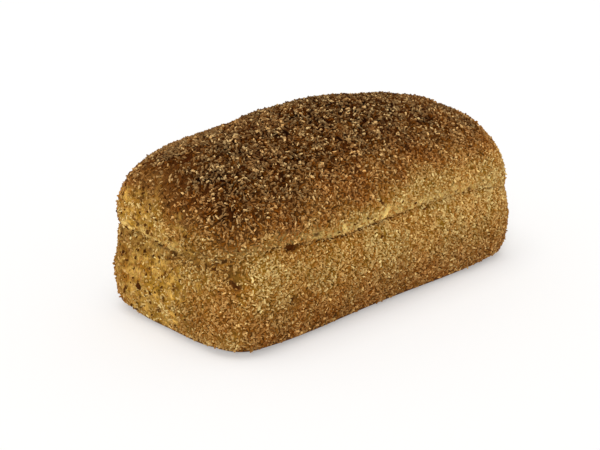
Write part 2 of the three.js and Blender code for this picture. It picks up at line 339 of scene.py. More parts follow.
class LoafBake(PropertyGroup):
    """Where the loaf browned and where it took no grain."""

    brown_from: length("Browning starts", "Height where the crown starts to brown", 0.0632)
    brown_over: length("Browning depth", "Rise over which most of the browning comes", 0.0165)
    brown_tilt: share("Browning tilt", "Rise of the browning to each metre towards the far side", 0.07)
    ragged: length("Ragged browning", "Spread of the browning line's height", 0.0022)
    blotch: share("Blotches", "Spread of the browning from patch to patch", 0.028)
    hot_drop: length("Hot corner", "How much lower the browning starts by the near corner", 0.0105)
    hot_at: length("Hot place", "Place of that corner", -0.095, -0.052)
    hot_reach: length("Hot reach", "Reach of that corner", 0.070, 0.050)
    base_brown: share("Base browning", "Browning of the wall next to the tin's bottom", 0.52)
    base_reach: length("Base reach", "Height where the browning of the base ends", 0.050)
    corner_brown: share("Corner browning", "Browning of an end's wall towards its corners", 0.34)
    band: length("Pale band", "Height of the stretched pale band above the crease", 0.007)
    band_long: length("Pale band reach", "Distance from the middle where that band fades", 0.072)
    bare_at: length("Bare place", "Middle of an end's bare patch", 0.030, 0.036)
    bare_radii: length("Bare radii", "Half sizes of an end's bare patch", 0.058, 0.046)
    bare_deep: length("Bare depth", "How far the bare patch wraps round the end", 0.018)


class LoafGrain(PropertyGroup):
    """Cracked grain on the crust."""

    grits: number("Grits", "Number of coarse grits", 16500)
    splinters: number("Splinters", "Number of bran splinters", 13000)
    meal: number("Meal", "Number of fine crumbs of meal", 16500)
    specks: number("Bran specks", "Number of dark bran specks on the bare crust", 500)
    long: length("Length", "Middle length of a grit", 0.00175)
    wide: length("Width", "Middle width of a grit", 0.00080)
    thick: length("Thickness", "Middle thickness of a grit", 0.00085)
    spread: share("Spread", "Spread of the sizes as a share", 0.24)
    speck_size: length("Speck size", "Middle size of a speck", 0.0017, 0.0011, 0.0006)
    speck_spread: share("Speck spread", "Spread of the specks' sizes as a share", 0.35)
    sunk: share("Sunk", "Share of a grain's thickness that lies in the crust", 0.24)
    tilt: share("Tilt", "Spread of the tilt out of the crust, in radians", 0.48)
    lowest: length("Lowest", "Height below which no grain is placed", 0.0032)
    crown_growth: share("Crown growth", "Share by which the grain is larger where the crust browned", 0.15)
    clump: share("Clumping", "How unevenly the grain fell", 0.2)
    seed: number("Seed", "Seed of the scatter", 41)


class LoafColours(PropertyGroup):
    """Colours of the baked loaf."""

    crust_gold: colour("Golden crust", "Crust between the grains of the walls", "#9c7124")
    crust_brown: colour("Brown crust", "Crust half way up the crown", "#7b5123")
    crust_dark: colour("Dark crust", "Crust on top of the crown", "#4a1c00")
    crust_bare: colour("Bare crust", "Crust of the ends, where there is little grain", "#cc9f4e")
    crust_pale: colour("Pale crust", "Stretched crust above the crease", "#e8c474")
    # The lightest grain colours are mostly seen on the grains painted light as glints.
    grain_gold: colour("Golden grain", "Lightest grain on the walls", "#ffeaa2")
    grain_brown: colour("Brown grain", "Darkest grain on the walls", "#a87830")
    grain_russet: colour("Russet grain", "Darkest grain half way up the crown", "#804c12")
    grain_amber: colour("Amber grain", "Lightest grain half way up the crown", "#eabd78")
    grain_tan: colour("Tan grain", "Lightest toasted grain on the crown", "#e3c084")
    grain_dark: colour("Dark grain", "Darkest toasted grain on the crown", "#421f00")
    speck: colour("Bran speck", "Dark bran on the bare crust", "#442204")
    ruddy: colour("Ruddy tint", "Tint of the redder patches", "#fff0e0")


class LoafStage(PropertyGroup):
    """Camera, floor and light."""

    camera_at: length("Camera place", "Place of the camera", -0.5137, -0.5179, 0.3004)
    azimuth: share("Azimuth", "Way the camera faces round the loaf, in degrees", -43.79)
    elevation: share("Elevation", "How far the camera faces down, in degrees", 20.01)
    lens: share("Lens", "Focal length in millimetres on a 36 mm sensor", 76.15)
    sky: share("Sky strength", "Even light from all round", 0.55)
    key: share("Key strength", "Strength of the sun-like key light in watts to the square metre", 1.35)
    key_soft: share("Key softness", "Angle that the key light fills, in degrees", 50.0)
    key_from: share("Key from", "Way to the key light", -0.20, -0.06, 0.98)
    fill: share("Fill strength", "Strength of the fill light in watts to the square metre", 0.95)
    fill_soft: share("Fill softness", "Angle that the fill light fills, in degrees", 15.0)
    fill_from: share("Fill from", "Way to the fill light", -0.66, -0.50, 0.56)
    floor: colour("Floor", "White acrylic sheet", "#c8c8c8")
    glow_tint: colour("Floor light", "Light that comes through the sheet from below", "#fffdfa")
    glow: share("Floor light strength", "Strength of that light", 0.36)


def ease(x, low, high):
    """Smooth step from 0 at low to 1 at high."""
    t = np.clip((x - low) / (high - low), 0.0, 1.0)
    return t * t * (3.0 - 2.0 * t)


def bell(x, middle, wide):
    """Bell of height 1: e to minus the square of the distance from its middle in half widths."""
    return np.exp(-(((x - middle) / wide) ** 2))


def waves(points, size, seed, count=30):
    """Soft random field of unit spread: plane waves of about one length summed in random directions."""
    rng = np.random.default_rng(seed)
    way = rng.normal(size=(3, count))
    way *= 2 * math.pi / (size * rng.uniform(*WAVE_SPAN, count) * np.linalg.norm(way, axis=0))
    phase = rng.uniform(0, 2 * math.pi, count)
    return np.cos(points @ way + phase).sum(axis=-1) * math.sqrt(2 / count)


def field(points, layers):
    """Random field over the loaf: the sum of the waves of its layers, each times its height."""
    return sum(height * waves(points, size, seed) for size, seed, height in layers)


def around_stations(values, u):
    """Smooth closed curve through values at even stations: a cubic through each four neighbours."""
    values = np.asarray(values)
    count = len(values)
    place = (u % 1.0) * count
    i = np.floor(place).astype(int)
    t = place - i
    p, q, r, s = (values[(i + k) % count] for k in (-1, 0, 1, 2))
    square = (2 * p - 5 * q + 4 * r - s) * t**2
    cube = (3 * q - p - 3 * r + s) * t**3
    return 0.5 * (2 * q + (r - p) * t + square + cube)


def outline(u, shape):
    """Columns at the shares u of the girth of a rounded rectangle.

    The girth runs anticlockwise from the front end of the right-hand side, as a straight and a quarter turn
    four times. Gives each column's corner of the core, its heading and its share of the side's bow.
    """
    side_run = shape.long - 2 * shape.corner
    end_run = shape.wide - 2 * shape.corner
    turn_run = shape.corner * QUARTER
    runs = np.array([end_run, turn_run, side_run, turn_run] * 2)
    starts = np.concatenate(([0.0], np.cumsum(runs)))
    at = (u % 1.0) * starts[-1]
    part = np.clip(np.searchsorted(starts, at, side="right") - 1, 0, len(runs) - 1)
    t = (at - starts[part]) / runs[part]
    turning = part % 2 == 1
    along = np.where(turning, 1.0, 2 * t - 1)
    side = part // 2
    c, s = np.round(np.cos(side * QUARTER)), np.round(np.sin(side * QUARTER))
    core = np.stack([c - s * along, s + c * along])
    heading = (side + np.where(turning, t, 0.0)) * QUARTER
    bow = np.where(turning, 0.0, (1 - along**2) ** 2)
    return core, heading, bow


def ring(columns, a, b, radius, inset, bow, z, swell=1.0):
    """Points of a rounded rectangle of half sizes a and b, drawn in by inset and bowed out on its sides."""
    core, heading, bow_share = columns
    radius = np.minimum(radius, np.minimum(a, b) - bow)
    reach = np.maximum(radius - inset, LEAST_RADIUS) + bow * swell * bow_share
    x = core[0] * (a - bow - radius) + reach * np.cos(heading)
    y = core[1] * (b - bow - radius) + reach * np.sin(heading)
    return np.stack(np.broadcast_arrays(x, y, z), axis=-1)


def crust_grid(shape):
    """Grid of the crust, rows from the resting face to the top and columns round the loaf.

    Resting face: the first foot ring drawn in to its middle. Foot: a quarter circle. Wall: a bulge given by
    two parabolas that meet at the bulge level. Crown: rings whose half sizes are superellipses of the rise,
    with corners that grow to full round. A soft hollow and a sharp slit run along the crease, a wide valley
    along it on the ends, and the pits are drawn in last. Gives the points, their outward directions and
    their heights above the crease.
    """
    u = np.arange(shape.columns) / shape.columns
    columns = outline(u, shape)
    core, heading, _ = columns
    half_long, half_wide = shape.long / 2, shape.wide / 2
    rim = shape.rim + around_stations(shape.wander, u)
    at_corner = np.maximum(np.abs(core).sum(axis=0) - 1, 0) ** 4
    foot = shape.foot + (shape.foot_corner - shape.foot) * at_corner
    off = (u[:, None] - np.array(shape.gap_at) + 0.5) % 1.0 - 0.5
    closed = bell(off, 0.0, np.array(shape.gap_wide)).max(axis=1)
    rim_line = ring(columns, half_long, half_wide, shape.corner, 0.0, shape.bow, rim)
    on_side = slit_share(core[0] * (half_long - shape.corner), shape)
    torn = np.maximum(on_side, np.cos(heading) ** 2 * tearing(rim_line))

    def wall_inset(z):
        """How far the wall lies inside its bulge: one parabola below the bulge level and one above."""
        h = z / rim
        low = shape.foot_inset * (1 - h / shape.bulge) ** 2
        high = shape.rim_inset * ((h - shape.bulge) / (1 - shape.bulge)) ** 2
        return np.where(h < shape.bulge, low, high)

    def groove(above):
        """Depth of the crease at a height above it: a soft bell, a sharp one and the valley of the ends."""
        soft = shape.groove * bell(above, 0.0, shape.groove_wide)
        sharp = shape.slit * torn * bell(above, 0.0, shape.slit_wide)
        on_end = np.maximum(-np.cos(heading), shape.valley_right * np.cos(heading))
        valley = shape.valley * on_end * (1 - VALLEY_CLOSED * closed)
        valley = valley * bell(above, -shape.valley_drop, shape.valley_wide)
        return (soft + sharp) * (1 - closed) + valley

    def wall_ring(z, edge):
        """Ring of the foot or the wall, whose corners and bow change with its height."""
        radius = shape.corner + (shape.crown_corner - shape.corner) * (z / rim) ** 2
        inset = edge + wall_inset(z) + groove(z - rim)
        across = np.sin(heading) ** 2
        at_foot = (shape.foot_bow_end * (1 - across) + shape.foot_bow_side * across) / shape.bow
        swell = at_foot + (1 - at_foot) * ease(z, 0.0, shape.bow_full)
        return ring(columns, half_long, half_wide, radius, inset, shape.bow, z, swell)

    turn = np.linspace(0, QUARTER, FOOT_ROWS)[:, None]
    foot_rows = wall_ring(foot * (1 - np.cos(turn)), foot * (1 - np.sin(turn)))
    floor_rows = foot_rows[:1] * np.linspace(*FLOOR_SPAN, FLOOR_ROWS)[:, None, None]
    k = 1 - (1 - np.linspace(0, 1, WALL_ROWS)[1:, None]) ** WALL_CROWDING
    wall_rows = wall_ring(foot + (rim - foot) * k, 0.0)

    t = np.linspace(0, 1, CROWN_ROWS)[1:-1, None]
    s = np.sin((t - CROWN_CROWDING * np.sin(2 * math.pi * t) / (2 * math.pi)) * QUARTER)
    full_a = half_long - shape.rim_inset + shape.overhang
    full_b = half_wide - shape.rim_inset + shape.overhang
    a = full_a * (1 - s**shape.shoulder_long) ** (1 / shape.shoulder_long)
    b = full_b * (1 - s**shape.shoulder_wide) ** (1 / shape.shoulder_wide)
    round_share = shape.crown_corner / full_b
    radius = b * (round_share + (1 - round_share) * s**shape.corner_growth)
    rise = (shape.crown - rim) * s
    bow = np.minimum(shape.bow * (1 - s), LARGEST_BOW * b)
    crown_rows = ring(columns, a, b, radius, groove(rise), bow, rim + rise)
    x, y = crown_rows[..., 0], crown_rows[..., 1]
    hump = bell(x, shape.hump_at[0], shape.hump_spread[0]) * bell(y, shape.hump_at[1], shape.hump_spread[1])
    lean = shape.lean_along * x / full_a + shape.lean_across * y / full_b
    crown_rows[..., 2] += rise * lean + shape.hump * s * hump

    points = np.concatenate([floor_rows, foot_rows, wall_rows, crown_rows])
    normals = grid_normals(points)
    uneven = shape.lump * waves(points, shape.lump_long, shape.seed)
    uneven += shape.pebble * waves(points, shape.pebble_long, shape.seed + 1)
    uneven -= shape.coat + pitting(points)[1]
    points = points + normals * (ease(points[..., 2], *FREE_CRUST) * uneven)[..., None]
    return points, grid_normals(points), points[..., 2] - rim


def slit_share(x, shape):
    """Share of the sharp line at a place along a side: a flat-topped bell."""
    return np.exp(-(((x - shape.slit_mid) / shape.slit_long) ** 4))


def tearing(points):
    """Share of the sharp line along the crease of an end, where it comes and goes."""
    return SLIT_ON_END * ease(field(points, TEARS), *TEAR_SPAN)


def pitting(points):
    """Share and depth of the pits: a bell of the distance to each pit's line, from its nearest crust on."""
    hollow, depth = np.zeros(points.shape[:-1]), np.zeros(points.shape[:-1])
    for start, end, radius, deep in PITS:
        start, run = np.array(start), np.subtract(end, start)
        t = np.clip((points - start) @ run / (run @ run), 0, 1)[..., None]
        off = ((points - start - t * run) ** 2).sum(axis=-1)
        near = np.exp(-(off - off.min()) / radius**2)
        hollow = np.maximum(hollow, near)
        depth = np.maximum(depth, deep * near)
    return hollow, depth


def grid_normals(points):
    """Outward directions of a closed grid, from the steps to the neighbours along and up."""
    along = np.roll(points, -1, axis=1) - np.roll(points, 1, axis=1)
    up = np.gradient(points, axis=0)
    out = np.cross(along, up)
    size = np.linalg.norm(out, axis=-1, keepdims=True)
    return out / np.maximum(size, LEAST_AREA)


def end_share(x, span, shape):
    """Share of an end: a smooth step from the first distance in from the loaf's tip to the second."""
    return ease(np.abs(x), shape.long / 2 - span[0], shape.long / 2 - span[1])


def browning(points, shape, bake):
    """Browning from 0, golden, to 1, dark.

    It comes with the height up the crown, sooner by one corner and later on the ends, and again towards the
    foot of the walls and the corners of the ends, with blotches and patches on top, a few of them painted
    shade.
    """
    x, y, z = np.moveaxis(points, -1, 0)
    hot = bell(x, bake.hot_at[0], bake.hot_reach[0]) * bell(y, bake.hot_at[1], bake.hot_reach[1])
    level = z + bake.brown_tilt * y - END_LAG * end_share(x, LATE_END, shape) + bake.hot_drop * hot
    level = level + bake.ragged * field(points, BROWN_LINE)
    crown = 1 - np.exp(-np.maximum(level - bake.brown_from, 0) / bake.brown_over)
    on_end = end_share(x, WALL_END, shape)
    base = bake.base_brown * (1 - ease(z, BASE_FULL, bake.base_reach)) * (1 - on_end)
    corner = on_end * ease(np.abs(y), *CORNER_ACROSS) * (1 - ease(z, *CORNER_TOP))
    base = np.maximum(base, bake.corner_brown * corner)
    uneven = bake.blotch * field(points, BLOTCHES) + uneven_bake_and_painted_light(points)[0]
    return np.clip(np.maximum(crown, base) + uneven, 0, 1)


def uneven_bake_and_painted_light(points):
    """Extra browning and extra lightness, partly uneven bake and partly painted light and shade: the sum of
    a bell round each patch.
    """
    browner, lighter = np.zeros(points.shape[:-1]), np.zeros(points.shape[:-1])
    for middle, reach, brown, light in PATCHES:
        near = np.exp(-((points - np.array(middle)) ** 2).sum(axis=-1) / reach**2)
        browner += brown * near
        lighter += light * near
    return browner, lighter


def ruddiness(points):
    """Share of the redder tint: soft patches of a few centimetres."""
    return ease(field(points, RUDDY_PATCHES), *RUDDY_SPAN)


def bareness(points, shape, bake):
    """Share of bare crust: 1 in the middle of each end, where the closed dough took little grain."""
    x, y, z = np.moveaxis(points, -1, 0)
    end = end_share(x, (bake.bare_deep, bake.bare_deep / 3), shape)
    dy = (y - bake.bare_at[0]) / bake.bare_radii[0]
    dz = (z - bake.bare_at[1]) / bake.bare_radii[1]
    return end * (1 - ease(np.hypot(dy, dz) + field(points, BARE_EDGE), *BARE_FADE))


def thinness(points, shape):
    """Share of thin coat: 1 on the ends of the crown, where the loaf was handled."""
    x, y, z = np.moveaxis(points, -1, 0)
    end = end_share(np.abs(x) + field(points, THIN_EDGE), THIN_END, shape)
    return end * ease(y, *THIN_ACROSS) * ease(z, *THIN_UP)


def paleness(points, above, shape, bake):
    """Share of pale stretched crust: a band above the crease, and a floury lip along it on the ends, the lip
    partly flour and partly a painted highlight.
    """
    x, y, _ = np.moveaxis(points, -1, 0)
    height = above + bake.band * field(points, BAND_EDGE)
    band = ease(above, *BAND_LIP) * (1 - ease(height, BAND_FADE[0] * bake.band, BAND_FADE[1] * bake.band))
    band = band * (BAND_LEAST + (1 - BAND_LEAST) * np.exp(-((x / bake.band_long) ** 4)))
    # The lip along the crease of an end: partly flour, partly a painted highlight.
    flour = FLOUR * bell(above, *FLOUR_BELL) * ease(field(points, FLOUR_PATCHES), *FLOUR_SPAN)
    flour = flour * ease(y, *FLOUR_ACROSS)
    end = end_share(x, FLOURY_END, shape)
    return np.clip(np.maximum(band * (1 - end), end * flour), 0, 1)


def grain_coat(points, above, shape, bake, grain):
    """Density of the grain as a share, in clumps.

    It is thin on bare and pale crust, on the ends of the crown and along the crease, and there is none in
    pits and under the foot.
    """
    coat = ease(points[..., 2], grain.lowest, grain.lowest + GRAIN_FOOT)
    coat = coat * (1 - BARE_LOSS * bareness(points, shape, bake))
    coat = coat * (1 - PALE_LOSS * paleness(points, above, shape, bake))
    coat = coat * (1 - THIN_LOSS * thinness(points, shape))
    coat = coat * (1 - CREASE_LOSS * bell(above, *LOSS_BELL)) * (1 - pitting(points)[0] ** PIT_POWER)
    return coat * np.clip(1 + grain.clump * field(points, CLUMPS), *COAT_LIMITS)


def painted_hollow_shade(points, above, shape):
    """Share of painted shade in what is hollow, put in as darker crust: the crease, the ends under it, the
    foot and the pits.
    """
    x, _, z = np.moveaxis(points, -1, 0)
    end = end_share(x, PAINTED_SHADE_END, shape)
    torn = np.maximum(slit_share(x, shape), end * tearing(points))
    crease = (CREASE_DARK + TEAR_DARK * torn) * bell(above, *DARK_BELL)
    under = UNDER_DARK * end * bell(above, *UNDER_BELL)
    foot = FOOT_DARK * (1 - ease(z, *DARK_FOOT))
    pits = PIT_DARK * pitting(points)[0]
    return 1 - (1 - crease) * (1 - under) * (1 - foot) * (1 - pits)


def crust_shadow(points, toast, coat, dark):
    """Painted light and shade in the crust's colour: painted shade between close grains and in hollows, and
    lighter or darker patches, partly uneven bake and partly painted highlight and shade.
    """
    between = 1 - (GAP_SHADOW + TOASTED_GAP_SHADOW * toast**4) * np.clip(coat, 0, 1)
    return between * (1 - HOLLOW_SHADOW * dark) * (1 + uneven_bake_and_painted_light(points)[1])


def mesh_piece(name, points, faces, material, smooth, attributes, uv):
    """Mesh object of vertex points and face arrays, with float attributes of its points and a UV map."""
    mesh = bpy.data.meshes.new(name)
    corners = np.concatenate([f.ravel() for f in faces]).astype(np.int32)
    sizes = np.concatenate([np.full(len(f), f.shape[1]) for f in faces])
    starts = np.concatenate(([0], np.cumsum(sizes)[:-1])).astype(np.int32)
    mesh.vertices.add(len(points))
    mesh.vertices.foreach_set("co", np.ascontiguousarray(points, np.float32).ravel())
    mesh.loops.add(len(corners))
    mesh.loops.foreach_set("vertex_index", corners)
    mesh.polygons.add(len(sizes))
    mesh.polygons.foreach_set("loop_start", starts)
    mesh.polygons.foreach_set("use_smooth", np.full(len(sizes), smooth))
    for key, values in attributes.items():
        data = mesh.attributes.new(key, "FLOAT", "POINT").data
        data.foreach_set("value", np.ascontiguousarray(values, np.float32))
    layer = mesh.uv_layers.new(name="OFBake")
    layer.data.foreach_set("uv", np.ascontiguousarray(uv, np.float32).ravel())
    mesh.update(calc_edges=True)
    if not np.isfinite(points).all() or mesh.validate():
        raise RuntimeError(f"The mesh of {name} doesn't hold together")
    mesh.materials.append(material)
    piece = bpy.data.objects.new(name, mesh)
    bpy.context.collection.objects.link(piece)
    return piece


def add_node(tree, kind, inputs=None, **settings):
    """Adds one node with its settings. An input given as a socket is linked, any other is its value."""
    made = tree.nodes.new(kind)
    for key, value in settings.items():
        setattr(made, key, value)
    for key, value in (inputs or {}).items():
        if isinstance(value, bpy.types.NodeSocket):
            tree.links.new(value, made.inputs[key])
        else:
            made.inputs[key].default_value = value
    return made


def set_ramp(ramp, *stops):
    """Gives a colour ramp its stops, each a place and a linear colour."""
    elements = ramp.color_ramp.elements
    while len(elements) < len(stops):
        elements.new(0.5)
    for element, (place, rgb) in zip(elements, stops):
        element.position = place
        element.color = (*rgb, 1.0)


def new_material(name, roughness, gloss):
    """Node material of a roughness and a share of gloss: gives its tree, its shader and itself."""
    material = bpy.data.materials.new(name)
    material.use_nodes = True
    shader = material.node_tree.nodes["Principled BSDF"]
    shader.inputs["Roughness"].default_value = roughness
    shader.inputs["Specular IOR Level"].default_value = gloss
    return material.node_tree, shader, material


def per_metre(count):
    """Scale on metre coordinates of a pattern with so many features along 100 mm."""
    return 10.0 * count


def crust_material(colours):
    """Oven-browned wheat crust: dull, mottled over millimetres, finely pitted, darker where it browned, with
    painted shade between its grains and in its hollows.

    Baked starch keeps the usual IOR of 1.5, but its surface is so broken up that next to no gloss is left.
    """
    tree, shader, material = new_material("wheat_crust_oven_browned", roughness=0.8, gloss=0.02)
    place = add_node(tree, "ShaderNodeTexCoord").outputs["Object"]
    toast, bare, pale, ruddy, shadow = (
        add_node(tree, "ShaderNodeAttribute", attribute_name=name).outputs["Fac"]
        for name in ("toast", "bare", "pale", "ruddy", "shadow")
    )
    browned = add_node(tree, "ShaderNodeValToRGB", {"Fac": toast})
    set_ramp(browned, (0.0, colours.crust_gold), (0.5, colours.crust_brown), (1.0, colours.crust_dark))
    crust = browned.outputs["Color"]
    layers = (
        (ruddy, colours.ruddy, "MULTIPLY"),
        (bare, colours.crust_bare, "MIX"),
        (pale, colours.crust_pale, "MIX"),
    )
    for amount, tint, blend in layers:
        mixed = {"Factor": amount, "A": crust, "B": (*tint, 1.0)}
        crust = add_node(tree, "ShaderNodeMix", mixed, data_type="RGBA", blend_type=blend).outputs["Result"]

    # The mottles, the pores and the shadow between the grains scale the colour, and the pits raise a bump.
    mottle, pore, pit = (
        add_node(
            tree,
            "ShaderNodeTexNoise",
            {"Vector": place, "Scale": per_metre(count), "Detail": detail, "Roughness": rough},
        ).outputs["Fac"]
        for count, detail, rough in (MOTTLES, PORES, FINE_PITS)
    )
    light = shadow
    for noise, (low, high, least, most) in ((mottle, MOTTLE_LIGHT), (pore, PORE_LIGHT)):
        span = {"Value": noise, "From Min": low, "From Max": high, "To Min": least, "To Max": most}
        scale = add_node(tree, "ShaderNodeMapRange", span).outputs["Result"]
        light = add_node(tree, "ShaderNodeMath", {0: scale, 1: light}, operation="MULTIPLY").outputs["Value"]
    shade = add_node(tree, "ShaderNodeVectorMath", {0: crust, "Scale": light}, operation="SCALE")
    tree.links.new(shade.outputs["Vector"], shader.inputs["Base Color"])
    bump = add_node(tree, "ShaderNodeBump", {"Height": pit, "Strength": 0.8, "Distance": 0.0008})
    tree.links.new(bump.outputs["Normal"], shader.inputs["Normal"])
    return material


def grain_material(name, dull, bright, tint):
    """Cracked grain baked in the crust: matt, each piece its own shade, darker where the crust browned.

    Dull and bright are the darkest and the lightest grain on golden, brown and dark crust. Dry bran keeps
    the usual IOR of 1.5 with hardly any gloss, a little more than the crust has.
    """
    tree, shader, material = new_material(name, roughness=0.65, gloss=0.03)
    toast, shade, ruddy = (
        add_node(tree, "ShaderNodeAttribute", attribute_name=key).outputs["Fac"]
        for key in ("toast", "shade", "ruddy")
    )
    low = add_node(tree, "ShaderNodeValToRGB", {"Fac": toast})
    set_ramp(low, (0.0, dull[0]), (0.6, dull[1]), (1.0, dull[2]))
    high = add_node(tree, "ShaderNodeValToRGB", {"Fac": toast})
    set_ramp(high, (0.0, bright[0]), (0.55, bright[1]), (1.0, bright[2]))
    mixed = {"Factor": shade, "A": low.outputs["Color"], "B": high.outputs["Color"]}
    grain = add_node(tree, "ShaderNodeMix", mixed, data_type="RGBA").outputs["Result"]
    mixed = {"Factor": ruddy, "A": grain, "B": (*tint, 1.0)}
    redder = add_node(tree, "ShaderNodeMix", mixed, data_type="RGBA", blend_type="MULTIPLY")
    tree.links.new(redder.outputs["Result"], shader.inputs["Base Color"])
    return material


def sheet_material(stage):
    """Matt white acrylic sheet lit from below: an even white with a soft, weak shadow."""
    _, shader, material = new_material("acrylic_sheet_matt_white", roughness=0.9, gloss=0.1)
    shader.inputs["Base Color"].default_value = (*stage.floor, 1.0)
    shader.inputs["Emission Color"].default_value = (*stage.glow_tint, 1.0)
    shader.inputs["Emission Strength"].default_value = stage.glow
    return material


def grain_template():
    """Unit grain: the eight corners of a block, narrower at the top, and its twelve outward triangles."""
    side = np.array([-1.0, 1.0])
    x, y, z = (q.ravel() for q in np.meshgrid(side, side, side, indexing="ij"))
    narrow = GRAIN_WAIST - GRAIN_TAPER * z
    points = np.stack([x * narrow, y * narrow, z * GRAIN_FLAT], axis=1)
    quads = np.array([[0, 1, 3, 2], [4, 6, 7, 5], [0, 4, 5, 1], [2, 3, 7, 6], [0, 2, 6, 4], [1, 5, 7, 3]])
    return points, np.concatenate([quads[:, [0, 1, 2]], quads[:, [0, 2, 3]]])


def scatter(points, normals, weight, count, rng):
    """Places on the grid and their outward directions, spread evenly by area times weight.

    There is one draw in each equal share of the sum, and each lies anywhere in the cell that it falls in.
    """
    a, b = points[:-1], np.roll(points[:-1], -1, axis=1)
    c, d = np.roll(points[1:], -1, axis=1), points[1:]
    area = 0.5 * np.linalg.norm(np.cross(c - a, d - b), axis=-1)
    total = np.cumsum((area * weight[:-1]).ravel())
    if not total[-1] > 0:
        raise RuntimeError("There is no crust that takes this grain")
    draw = (np.arange(count) + rng.uniform(size=count)) / count * total[-1]
    cell = np.minimum(np.searchsorted(total, draw), total.size - 1)
    s, t = rng.uniform(size=(2, count, 1))
    pick = [q.reshape(-1, 3)[cell] for q in (a, b, c, d)]
    at = (1 - t) * ((1 - s) * pick[0] + s * pick[1]) + t * ((1 - s) * pick[3] + s * pick[2])
    return at, normals[:-1].reshape(-1, 3)[cell]


def grain_points(at, out, sizes, grain, rng):
    """Vertices of grains at places with outward directions: jittered, turned at random, tilted and sunk."""
    template, faces = grain_template()
    count = len(at)
    some = np.where(np.abs(out[:, 2:]) < STEEP, [[0.0, 0, 1]], [[1.0, 0, 0]])
    east = np.cross(some, out)
    east /= np.linalg.norm(east, axis=1, keepdims=True)
    north = np.cross(out, east)
    turn = rng.uniform(0, 2 * math.pi, (count, 1))
    lift = rng.normal(0, grain.tilt, (count, 1))
    flat = np.cos(turn) * east + np.sin(turn) * north
    along = np.cos(lift) * flat + np.sin(lift) * out
    across = np.cross(out, flat)
    upward = np.cross(along, across)
    local = template[None] + rng.uniform(-GRAIN_JITTER, GRAIN_JITTER, (count, len(template), 3))
    local = local * sizes[:, None, :] / 2
    verts = (at + out * (sizes[:, 2:] * (0.5 - grain.sunk)))[:, None, :]
    for k, axis in enumerate((along, across, upward)):
        verts = verts + local[..., k : k + 1] * axis[:, None, :]
    tris = faces[None] + (np.arange(count) * len(template))[:, None, None]
    return verts.reshape(-1, 3), tris.reshape(-1, 3)


def grain_looks(at, shape, bake, rng):
    """Browning, shade and ruddiness of each grain: those of the crust under it and a draw of its own."""
    count = len(at)
    toast = np.clip(browning(at, shape, bake) + rng.normal(0, TOAST_SPREAD, count), 0, 1)
    shade = SHADE_TOP * rng.beta(*SHADE_DRAW, count) ** (1 + SHADE_SKEW * toast)
    shade = shade * (1 - SHADE_TOASTED * toast)
    shade = shade + field(at, SHADE_DRIFT) + SHADE_PATCHES * uneven_bake_and_painted_light(at)[1]
    # A few grains are painted light as glints.
    painted_glint = rng.uniform(size=count) < PAINTED_GLINT_ODDS[0] + PAINTED_GLINT_ODDS[1] * toast
    shade = np.clip(np.where(painted_glint, rng.uniform(*PAINTED_GLINT_SHADES, count), shade), 0, 1)
    ruddy = np.clip(ruddiness(at) + rng.normal(0, RUDDY_SPREAD, count), 0, 1)
    return {"toast": toast, "shade": shade, "ruddy": ruddy}


def cell_map(count, faces_each, edge=0.1):
    """UV map that gives each grain its own square cell, with all its faces on one triangle in it."""
    side = math.ceil(math.sqrt(count))
    i = np.arange(count)
    corner = np.stack([i % side, i // side], axis=1)[:, None, None, :]
    triangle = np.array([[edge, edge], [1 - edge, edge], [edge, 1 - edge]])[None, None]
    uv = (corner + triangle) / side
    return np.broadcast_to(uv, (count, faces_each, 3, 2)).reshape(-1, 2)


def crust_faces(rows, cols):
    """Faces of the closed grid: quads between the rows, and fans to one point below and one at the top."""
    r = np.arange(rows - 1)[:, None] * cols
    c = np.arange(cols)
    d = (c + 1) % cols
    quads = np.stack([r + c, r + d, r + cols + d, r + cols + c], axis=-1).reshape(-1, 4)
    last = (rows - 1) * cols
    under = np.stack([np.full(cols, rows * cols), d, c], axis=1)
    over = np.stack([np.full(cols, rows * cols + 1), last + c, last + d], axis=1)
    return [quads, under, over]


def crust_map(points, edge=0.02):
    """UV map of the crust: girth across, length up the grid upwards, and an edge strip for each fan."""
    cols = points.shape[1]
    steps = np.linalg.norm(np.diff(points, axis=0), axis=-1).mean(axis=1)
    v = np.concatenate(([0.0], np.cumsum(steps))) / steps.sum() * (1 - 2 * edge) + edge
    left, right = np.arange(cols) / cols, (np.arange(cols) + 1) / cols
    mid, low, high = (left + right) / 2, np.full(cols, edge), np.full(cols, 1 - edge)
    west, east, south, north = np.broadcast_arrays(left[None], right[None], v[:-1, None], v[1:, None])
    quads = np.stack([west, south, east, south, east, north, west, north], axis=-1)
    under = np.stack([mid, 0 * mid, right, low, left, low], axis=1)
    over = np.stack([mid, 0 * mid + 1, left, high, right, high], axis=1)
    return np.concatenate([q.reshape(-1, 2) for q in (quads, under, over)])


class LOAF_OT_crust(Operator):
    """Builds the browned crust of the loaf"""

    bl_idname = "loaf.crust"
    bl_label = "Crust"

    def execute(self, context):
        scene = context.scene
        shape, bake = scene.loaf_shape, scene.loaf_bake
        points, _, above = crust_grid(shape)
        verts = np.concatenate([points.reshape(-1, 3), np.zeros((1, 3)), [points[-1].mean(axis=0)]])
        above = np.concatenate([above.ravel(), [-shape.rim, shape.crown - shape.rim]])
        toast = browning(verts, shape, bake)
        # Painted shade in the hollows: it goes into the crust's browning and, as painted shadow, into its
        # light.
        dark = painted_hollow_shade(verts, above, shape)
        coat = grain_coat(verts, above, shape, bake, scene.loaf_grain)
        patchy = np.clip(BARE_MEAN + field(verts, BARE_PATCHES), 0, 1)
        bare = bareness(verts, shape, bake) * (1 - toast) * patchy
        attributes = {
            "toast": toast + (1 - toast) * dark,
            "bare": bare * (1 - dark),
            "pale": paleness(verts, above, shape, bake) * (1 - dark),
            "ruddy": ruddiness(verts),
            "shadow": crust_shadow(verts, toast, coat, dark),
        }
        faces = crust_faces(*points.shape[:2])
        material = crust_material(scene.loaf_colours)
        piece = mesh_piece("crust", verts, faces, material, True, attributes, crust_map(points))
        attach(piece, "root")
        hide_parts("loaf")
        return {"FINISHED"}


